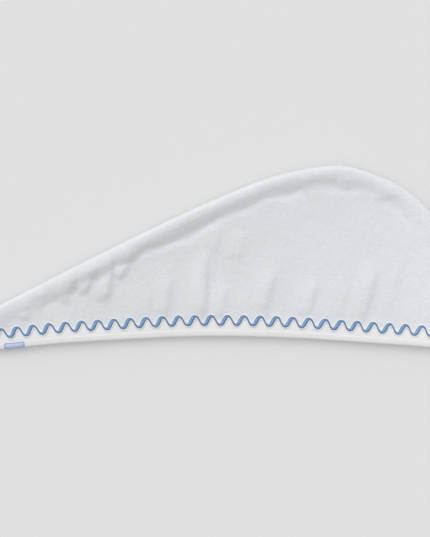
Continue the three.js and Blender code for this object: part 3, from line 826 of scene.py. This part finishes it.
def threads(name, starts, ends, radius, rise, look):
    """One piece of many copies of the thread shape, each from its start to its end, arched by its rise."""
    count, size = len(starts), len(THREAD_POINTS)
    way = ends - starts
    flat = np.column_stack([way[:, :2], np.zeros(count)])
    flat /= np.linalg.norm(flat, axis=1)[:, None]
    side = np.column_stack([-flat[:, 1], flat[:, 0], np.zeros(count)])
    share, across, up = THREAD_POINTS.T
    arch = np.sqrt(np.clip(1 - (2 * share) ** 2, 0, 1))
    points = starts[:, None] + way[:, None] * (share + 0.5)[None, :, None]
    points = points + side[:, None] * (across * radius)[None, :, None]
    points[:, :, 2] += up * radius + np.asarray(rise)[:, None] * arch
    faces = [tuple(i + n * size for i in face) for n in range(count) for face in THREAD_FACES]
    piece = mesh_piece(name, points.reshape(-1, 3), faces)
    # lift and side carry painted light for the blue thread: lighter at a stitch's crown, its upper end and
    # on wide strokes, darker at its ends, its lower end and on narrow strokes
    fullness = np.asarray(rise) / np.max(rise)
    set_attribute(piece, "lift", (fullness[:, None] * arch).ravel())
    set_attribute(piece, "side", np.tile(share + 0.5, count))
    strands = random.Random(11)
    set_attribute(piece, "strand", np.repeat([strands.random() for _ in range(count)], size))
    piece.data.materials.append(look)
    return piece


def hem_stitches(name, carrier, look):
    """A straight stitch along the inner edge of the hem tape."""
    top = top_of(carrier)
    runs = np.arange(HEM_STITCH_END, HEM_RUN[-1] - HEM_STITCH_END, HEM_STITCH_PITCH)
    rows = []
    for shift in (0, HEM_STITCH):
        spot, _, inward = hem_frame(runs + shift)
        plan = spot + inward * HEM_STITCH_FROM_EDGE
        heights = [top(x, y) for x, y in plan]
        rows.append([(x, y, z) if z is not None else None for (x, y), z in zip(plan, heights)])
    sound = [(a, b) for a, b in zip(*rows) if a and b]
    starts = np.array([a for a, b in sound])
    ends = np.array([b for a, b in sound])
    return threads(name, starts, ends, HEM_THREAD / 2, np.full(len(starts), HEM_STITCH_ARCH), look)


# The wave

def wave_path(turn):
    """Middle of the wave, its sideways direction and its half width, at angles along it in radians."""
    spot, forward, inward = hem_frame(WAVE_START + turn / (2 * math.pi) * WAVE_PITCH)
    swing = (np.sin(turn) + WAVE_ROUNDNESS * np.sin(3 * turn)) / (1 - WAVE_ROUNDNESS)
    climb = (np.cos(turn) + 3 * WAVE_ROUNDNESS * np.cos(3 * turn)) / (1 - WAVE_ROUNDNESS)
    slope = WAVE_HEIGHT * math.pi / WAVE_PITCH * climb
    sideways = inward - forward * slope[:, None]
    sideways /= np.linalg.norm(sideways, axis=1)[:, None]
    rising = (1 + np.cos(turn)) / 2
    half = (WAVE_NARROW + (WAVE_WIDE - WAVE_NARROW) * rising) / 2
    middle = spot + inward * (WAVE_FROM_HEM + WAVE_HEIGHT / 2 * swing)[:, None]
    return middle, sideways, half


def wave_stitches(carrier, look):
    """Satin stitches side by side across the wave."""
    top = top_of(carrier)
    fine = np.linspace(0, WAVES * 2 * math.pi, WAVES * WAVE_STEPS)
    middle, _, _ = wave_path(fine)
    run = run_along(middle)
    turn = np.interp(np.arange(0, run[-1], WAVE_STITCH_PITCH), run, fine)
    middle, sideways, half = wave_path(turn)
    uneven = random.Random(5)
    half = half * np.array([uneven.uniform(1 - WAVE_STITCH_UNEVEN, 1 + WAVE_STITCH_UNEVEN) for _ in turn])
    ends = []
    for side in (-1, 1):
        plan = middle + sideways * (side * half)[:, None]
        heights = [(top(x, y) or 0) + WAVE_SEAT for x, y in plan]
        ends.append(np.column_stack([plan, heights]))
    rise = WAVE_CROWN * half / half.max() + WAVE_LEAST_RISE
    return threads("wave_stitches", ends[0], ends[1], WAVE_THREAD / 2, rise, look)


def wave_edging(carrier, look):
    """White cord couched along both sides of the wave."""
    top = top_of(carrier)
    fine = np.linspace(0, WAVES * 2 * math.pi, WAVES * WAVE_EDGING_STEPS)
    middle, sideways, half = wave_path(fine)
    starts, ends = [], []
    for side in (-1, 1):
        plan = middle + sideways * (side * (half + WAVE_EDGING * WAVE_EDGING_OUT))[:, None]
        spots = points_at(np.arange(0, run_along(plan)[-1], WAVE_EDGING_STITCH), plan)
        route = np.array([(x, y, (top(x, y) or 0) + WAVE_EDGING * WAVE_EDGING_UP) for x, y in spots])
        starts.append(route[:-1])
        ends.append(route[1:] + (route[1:] - route[:-1]) * WAVE_EDGING_OVERLAP)
    starts, ends = np.concatenate(starts), np.concatenate(ends)
    rise = np.full(len(starts), WAVE_EDGING_ARCH)
    return threads("wave_edging", starts, ends, WAVE_EDGING / 2, rise, look)


def wave_padding(carrier, look):
    """The dense understitching that fills the wave below its satin stitches."""
    piece = copy_of("wave_trim", "wave_padding")
    subdivided(piece, 1)
    before, after = top_of(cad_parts["upper_panel"]), top_of(carrier)
    points = places(piece)
    for point in points:
        old, new = before(point[0], point[1]), after(point[0], point[1])
        if old is not None and new is not None:
            point[2] = new + (point[2] - old) * PADDING_SHARE
    set_places(piece, points)
    # these set the padding's painted shade and its tone
    for name, value in PADDING_TONE_AND_PAINTED_SHADE.items():
        set_attribute(piece, name, np.full(len(points), value))
    piece.data.materials.append(look)
    return piece


# Hem tape and label

def trimmed_square(piece):
    """Cuts both ends of the hem tape straight across and closes them."""
    only(piece)
    bpy.ops.object.mode_set(mode="EDIT")
    spots, forward, _ = hem_frame(np.array([0, HEM_RUN[-1]]))
    for spot, way, outward in zip(spots, forward, (-1, 1)):
        cut = spot - way * outward * TAPE_TRIM
        bpy.ops.mesh.select_all(action="SELECT")
        bpy.ops.mesh.bisect(
            plane_co=(*cut, 0), plane_no=(*(way * outward), 0), use_fill=True, clear_outer=True)
    bpy.ops.object.mode_set(mode="OBJECT")
    bpy.ops.object.shade_smooth_by_angle(angle=math.radians(45))


def bound_hem(node, name, look):
    piece = subdivided(copy_of(node, name), 2)
    trimmed_square(piece)
    points, outward = places(piece), normals(piece)
    points += outward * (noise_over(points, (TAPE_WAVER_WIDTH,) * 3, 2.2) * TAPE_WAVER)[:, None]
    to_end = np.minimum(points[:, 0] - HEM_X[0], HEM_X[-1] - points[:, 0])
    points[:, 1] -= HEM_FULLNESS * ease(-outward[:, 1] / HEM_FULL_FACING) * ease(to_end / TAPE_TAPER)
    set_places(piece, points)
    piece.data.materials.append(look)
    return piece


def folded_label(look):
    """The label, with UV in millimetres along and across it and its distance in from its edges."""
    piece = copy_of("hem_label", "folded_label")
    only(piece)
    bpy.ops.object.mode_set(mode="EDIT")
    bpy.ops.mesh.select_all(action="SELECT")
    bpy.ops.mesh.subdivide(number_cuts=3)
    bpy.ops.object.mode_set(mode="OBJECT")
    subdivided(piece, 2)
    points = places(piece)
    low, high = points.min(0), points.max(0)
    lean = np.polyfit(points[:, 0], points[:, 1], 1)[0]
    way = np.array([1, lean]) / math.hypot(1, lean)
    flat = (points[:, :2] - (low[:2] + high[:2]) / 2) / MM
    along = flat @ way
    across = flat @ np.array([-way[1], way[0]])
    from_ends = along.max() - np.abs(along)
    inset = np.minimum(from_ends, np.minimum(across.max() - across, across - across.min()))
    set_attribute(piece, "inset", inset)
    layer = piece.data.uv_layers.new(name="UVMap")
    corners = np.empty(len(piece.data.loops), dtype=np.int64)
    piece.data.loops.foreach_get("vertex_index", corners)
    spots = np.column_stack([along[corners], across[corners]]).astype(np.float32)
    layer.data.foreach_set("uv", spots.ravel())
    piece.data.materials.append(look)
    return piece


# Button

def turned(name, centre, rings):
    """A disc at the first ring, extruded up through the others. A ring is a radius and a height."""
    bpy.ops.object.select_all(action="DESELECT")
    start_radius, start_height = rings[0]
    place = (centre[0], centre[1], start_height)
    bpy.ops.mesh.primitive_circle_add(
        vertices=BUTTON_SIDES, radius=start_radius, fill_type="NGON", location=place)
    piece = bpy.context.object
    piece.name = name
    bpy.ops.object.transform_apply(location=True, rotation=True, scale=True)
    bpy.ops.object.mode_set(mode="EDIT")
    bpy.ops.mesh.select_all(action="SELECT")
    for (radius, height), (wider, higher) in zip(rings, rings[1:]):
        bpy.ops.mesh.extrude_region_move(TRANSFORM_OT_translate={"value": (0, 0, higher - height)})
        share = wider / radius
        bpy.ops.transform.resize(value=(share, share, 1), center_override=(centre[0], centre[1], higher))
    bpy.ops.mesh.select_all(action="SELECT")
    bpy.ops.mesh.normals_make_consistent(inside=False)
    bpy.ops.object.mode_set(mode="OBJECT")
    bpy.ops.object.shade_smooth()
    return piece


def four_holes(piece, centre, low, high):
    """Drills the button's four thread holes."""
    for i in range(4):
        turn = math.pi / 4 + i * math.pi / 2
        spot = (centre[0] + HOLE_SPREAD / 2 * math.cos(turn), centre[1] + HOLE_SPREAD / 2 * math.sin(turn))
        bpy.ops.object.select_all(action="DESELECT")
        bpy.ops.mesh.primitive_cylinder_add(
            vertices=20, radius=HOLE_RADIUS, depth=high - low, location=(*spot, (low + high) / 2))
        drill = bpy.context.object
        only(piece)
        cut = piece.modifiers.new("hole", "BOOLEAN")
        cut.operation = "DIFFERENCE"
        cut.solver = "EXACT"
        cut.object = drill
        bpy.ops.object.modifier_apply(modifier=cut.name)
        bpy.data.objects.remove(drill)


def button(look):
    low, high = (Vector(corner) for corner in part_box("button"))
    centre = (low + high) / 2
    radius = (high.x - low.x) / 2
    base, top = low.z + SHANK_HEIGHT, high.z
    levels = {"base": base, "top": top}
    rings = []
    for row in BUTTON_PROFILE:
        ring = dict(zip(BUTTON_COLUMNS, row))
        rings.append((radius - ring["inset"] * MM, levels[ring["level"]] + ring["above"] * MM))
    rings.append((BUTTON_MIDDLE, top - BUTTON_DISH))
    piece = turned("button", centre, rings)
    four_holes(piece, centre, base - DRILL_PAST, top + DRILL_PAST)
    only(piece)
    bpy.ops.object.shade_smooth_by_angle(angle=math.radians(40))
    piece.data.materials.append(look)
    return piece


def button_thread(look):
    """The thread through the button's holes and the wound shank below it."""
    low, high = (Vector(corner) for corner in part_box("button"))
    centre = (low + high) / 2
    reach = HOLE_SPREAD / 2 * math.cos(math.pi / 4)
    starts, ends = [], []
    for strand in (-BUTTON_THREAD_APART, BUTTON_THREAD_APART):
        for side in (-reach, reach):
            y, z = centre.y + side + strand, high.z - BUTTON_DISH
            starts.append((centre.x - reach - BUTTON_THREAD_PAST, y, z))
            ends.append((centre.x + reach + BUTTON_THREAD_PAST, y, z))
    rise = np.full(len(starts), BUTTON_THREAD_ARCH)
    piece = threads("button_thread", np.array(starts), np.array(ends), BUTTON_THREAD / 2, rise, look)
    winds = []
    for i in range(SHANK_WINDS):
        bpy.ops.object.select_all(action="DESELECT")
        height = low.z + SHANK_HEIGHT * (i + 0.5) / SHANK_WINDS
        bpy.ops.mesh.primitive_torus_add(
            location=(centre.x, centre.y, height),
            rotation=(SHANK_TILT * math.sin(i), SHANK_TILT * math.cos(i), 0),
            major_radius=WIND_RADIUS + SHANK_WAVER * math.sin(2.1 * i), minor_radius=SHANK_WIND,
            major_segments=32, minor_segments=8)
        bpy.ops.object.transform_apply(location=True, rotation=True, scale=True)
        bpy.ops.object.shade_smooth()
        bpy.context.object.data.materials.append(look)
        winds.append(bpy.context.object)
    only(piece)
    for wind in winds:
        wind.select_set(True)
    bpy.ops.object.join()
    return piece


# Closing loop

def loop_route():
    """The loop's route, from one leg to the other, through the points of its course."""
    side = []
    for row in LOOP_COURSE:
        apart = (LOOP_LEGS + (LOOP_SPREAD - LOOP_LEGS) * row["apart"]) / 2
        height = LOOP_CORD / 2 + (SEAM_HEIGHT - LOOP_CORD / 2) * row["raised"]
        side.append((row["out"] * (LOOP_REACH - LOOP_CORD / 2), apart, height))
    tip = (LOOP_REACH - LOOP_CORD / 2, 0, LOOP_CORD / 2)
    knots = side + [tip] + [(out, -apart, height) for out, apart, height in reversed(side)]
    knots = [Vector((LOOP_ROOT[0] - out, LOOP_ROOT[1] + apart, height)) for out, apart, height in knots]
    ends = [2 * knots[0] - knots[1]] + knots + [2 * knots[-1] - knots[-2]]
    route = []
    for before, start, end, after in zip(ends, ends[1:], ends[2:], ends[3:]):
        leave = (end - before) / 2
        arrive = (after - start) / 2
        for i in range(LOOP_STEPS):
            t = i / LOOP_STEPS
            route.append(
                start * (2 * t**3 - 3 * t**2 + 1) + leave * (t**3 - 2 * t**2 + t)
                + end * (3 * t**2 - 2 * t**3) + arrive * (t**3 - t**2))
    route.append(knots[-1])
    return np.array(route)


def closing_loop(look):
    """A braided elastic cord: strands wind both ways round it and cross over and under."""
    route = loop_route()
    stations = np.linspace(0, run_along(route)[-1], LOOP_RINGS)
    middle = points_at(stations, route)
    forward = np.gradient(middle, axis=0)
    forward /= np.linalg.norm(forward, axis=1)[:, None]
    side = np.column_stack([-forward[:, 1], forward[:, 0], np.zeros(LOOP_RINGS)])
    side /= np.linalg.norm(side, axis=1)[:, None]
    up = np.cross(forward, side)
    turn = np.arange(LOOP_SIDES) / LOOP_SIDES * 2 * math.pi
    lay = stations[:, None] / BRAID_PITCH * 4 * math.pi
    one_way = np.abs(np.sin(turn[None, :] * BRAID_STRANDS / 2 + lay))
    other_way = np.abs(np.sin(turn[None, :] * BRAID_STRANDS / 2 - lay))
    crown = np.maximum(one_way, other_way)
    radius = LOOP_CORD / 2 - BRAID_DEPTH * (1 - crown)
    piece = tube("closing_loop_braid", middle, side, up[:, None], turn, radius)
    # painted shade: how deep each point lies in a groove between strands
    set_attribute(piece, "painted_groove_shade", (1 - crown).ravel())
    piece.data.materials.append(look)
    return piece


# Stage, camera and light

def stage_floor():
    bpy.ops.object.select_all(action="DESELECT")
    bpy.ops.mesh.primitive_plane_add(size=FLOOR_SIZE, location=(0, 0, -FLOOR_GAP))
    floor = bpy.context.object
    floor.name = "floor"
    floor.data.materials.append(pale_floor())
    return floor


def camera():
    data = bpy.data.cameras.new("camera")
    data.sensor_fit = "VERTICAL"
    data.sensor_height = SENSOR_HEIGHT
    data.lens = SENSOR_HEIGHT * CAMERA_HEIGHT / (FRAME_HEIGHT_PX * PIXEL)
    data.clip_end = FARTHEST_SEEN
    made = bpy.data.objects.new("camera", data)
    made.location = (*VIEW_CENTRE, CAMERA_HEIGHT + FOCUS_HEIGHT)
    bpy.context.scene.collection.objects.link(made)
    bpy.context.scene.camera = made


def sunlight(name, settings):
    sun = bpy.data.lights.new(name, "SUN")
    sun.energy = settings["strength"]
    sun.angle = math.radians(settings["across"])
    made = bpy.data.objects.new(name, sun)
    made.rotation_euler = (-math.radians(settings["zenith"]), 0, math.radians(settings["turn"]))
    bpy.context.scene.collection.objects.link(made)
    return made


def side_light():
    """A small soft light over the towel's wide end."""
    lamp = bpy.data.lights.new("side_light", "POINT")
    lamp.energy = SIDE["strength"]
    lamp.shadow_soft_size = SIDE["radius"]
    lamp.color = SIDE["tint"]
    made = bpy.data.objects.new("side_light", lamp)
    made.location = SIDE["place"]
    made.visible_camera = False
    bpy.context.scene.collection.objects.link(made)
    return made


def lights(floor):
    """Soft light from all round and above, and two lights that model the towel and leave the floor alone."""
    world = bpy.data.worlds.new("sky")
    world.use_nodes = True
    sky = world.node_tree.nodes["Background"]
    sky.inputs["Color"].default_value = (*SKY_TINT, 1)
    sky.inputs["Strength"].default_value = SKY_STRENGTH
    bpy.context.scene.world = world
    sunlight("key_light", KEY)
    unlit = bpy.data.collections.new("floor_left_alone")
    unlit.objects.link(floor)
    unlit.collection_objects[0].light_linking.link_state = "EXCLUDE"
    for modelling in (sunlight("raking_light", RAKING), side_light()):
        modelling.light_linking.receiver_collection = unlit
    bpy.context.scene.view_settings.view_transform = "Standard"


camera()
lights(stage_floor())

terry = white_terry()
tape = binding_tape()
cotton = white_thread()
satin = blue_thread()

upper = terry_panel("upper_panel", "upper_terry", terry, True)
lower = terry_panel("lower_panel", "lower_terry", terry, False)
edge_seam = seam_cord(cotton)
upper_hem = bound_hem("upper_binding", "upper_hem_tape", tape)
lower_hem = bound_hem("lower_binding", "lower_hem_tape", tape)
padding = wave_padding(upper, satin)
stitched_wave = wave_stitches(upper, satin)
edging = wave_edging(upper, cotton)
hem_seam = hem_stitches("hem_stitches", upper_hem, cotton)
label = folded_label(label_ribbon())
closing_button = button(button_resin())
shank = button_thread(cotton)
loop = closing_loop(braided_elastic())

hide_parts("upper_panel")
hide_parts("lower_panel")
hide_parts("upper_binding")
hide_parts("lower_binding")
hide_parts("wave_trim")
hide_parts("hem_label")
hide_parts("button")
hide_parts("closing_loop")

SLOTS = [
    (upper, "terry"), (lower, "terry"),
    (upper_hem, "binding"), (lower_hem, "binding"), (hem_seam, "binding"), (edging, "binding"),
    (edge_seam, "binding"),
    (padding, "wave_thread"), (stitched_wave, "wave_thread"), (label, "label_tape"),
    (closing_button, "button_plastic"), (shank, "binding"), (loop, "elastic"),
]
for piece, slot in SLOTS:
    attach(piece, "root")
